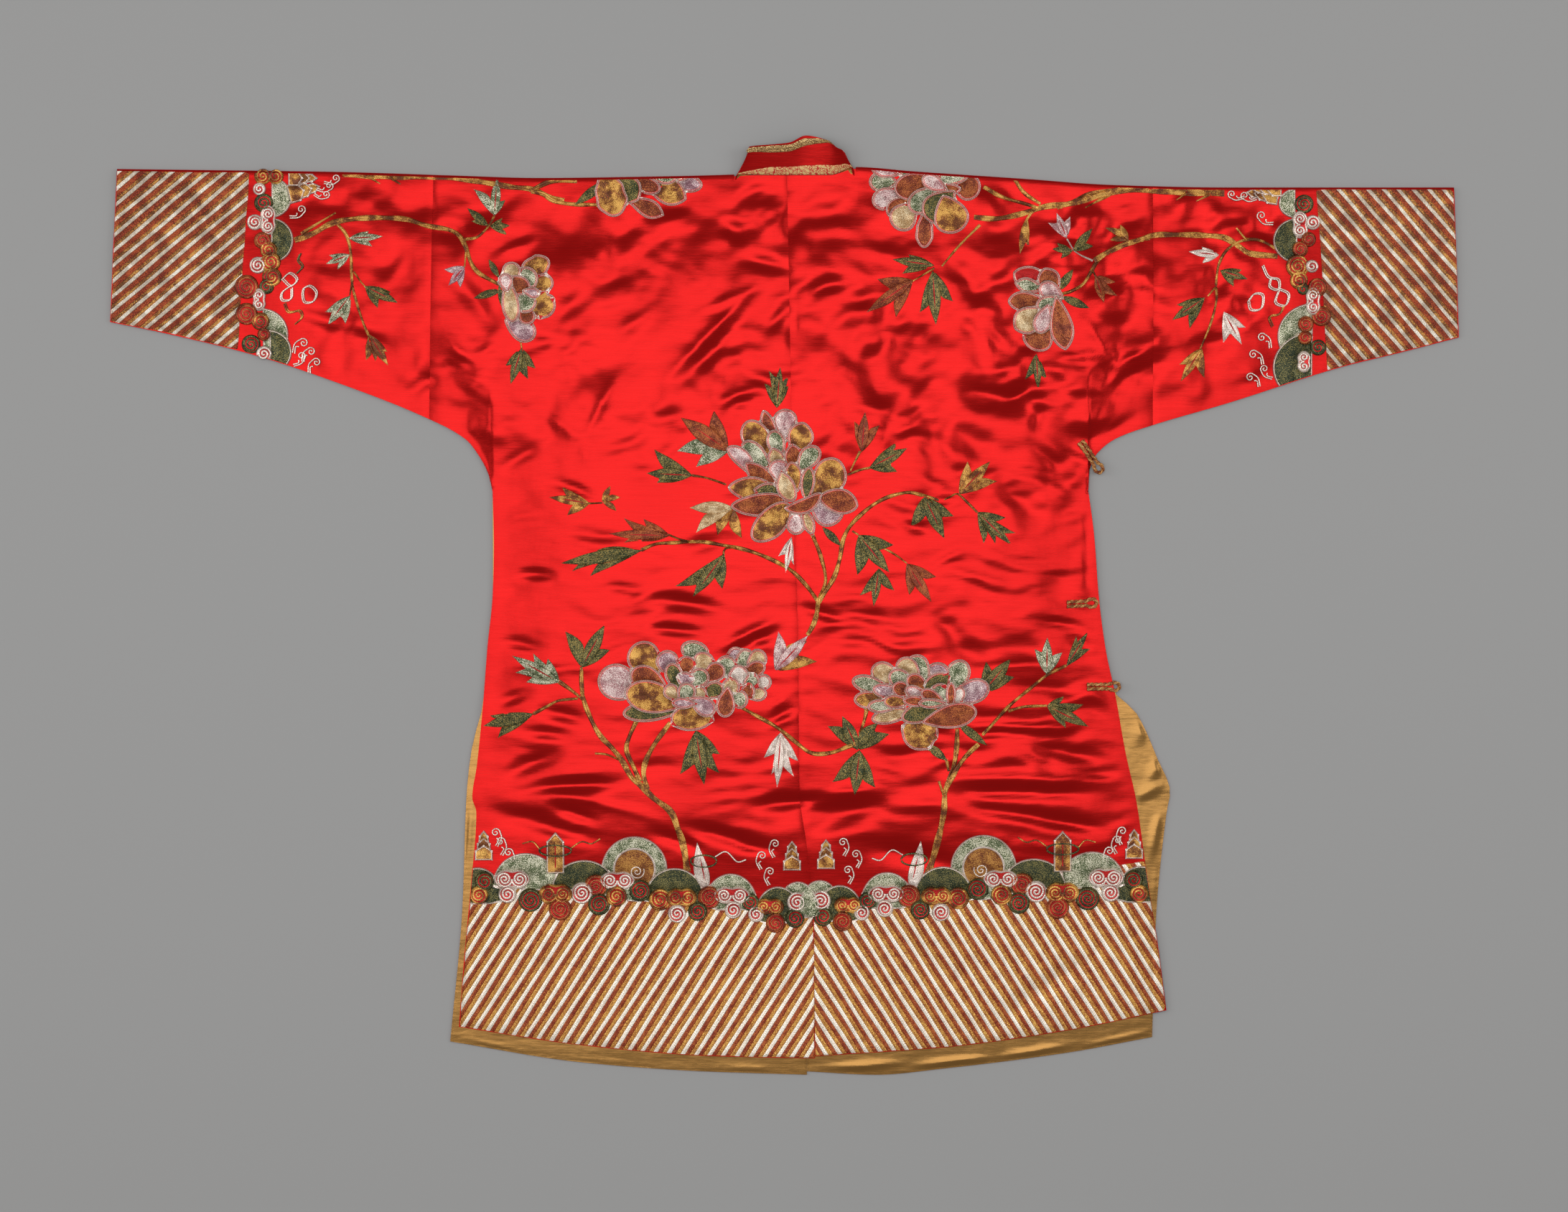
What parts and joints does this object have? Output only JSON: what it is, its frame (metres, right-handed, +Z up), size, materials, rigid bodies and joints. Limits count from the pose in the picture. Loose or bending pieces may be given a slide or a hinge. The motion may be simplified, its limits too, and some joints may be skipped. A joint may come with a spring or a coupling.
{
  "type": "embroidered silk jacket, laid face down",
  "caption": "Hip-length jacket of couched satin laid flat on its front, with standing collar, straight sleeves, side slits and corded side loops.",
  "frame": {"origin": "on the surface the jacket lies on, under the middle of its bounding box", "axes": "+X to the right with the back uppermost and the collar away from the viewer, +Y from hem to collar, +Z up out of the back"},
  "size_m": [1.353, 0.9401, 0.0164],
  "materials": {
    "satin": "silk satin, lustrous, with couched metal-thread embroidery",
    "lining": "thin satin lining",
    "brocade": "metal-thread brocade cut on the bias",
    "braid": "woven metal-thread braid",
    "cord": "brocade-covered cord"
  },
  "bodies": {
    "root": {"body_left": "satin", "body_right": "satin", "front_overlap": "satin", "sleeve_left": "satin", "sleeve_right": "satin", "lining_left": "lining", "lining_right": "lining", "collar": "satin", "neck_binding": "brocade", "collar_braid": "braid", "loop_underarm": "cord", "loop_waist": "cord", "loop_hip": "cord"}
  },
  "joints": []
}
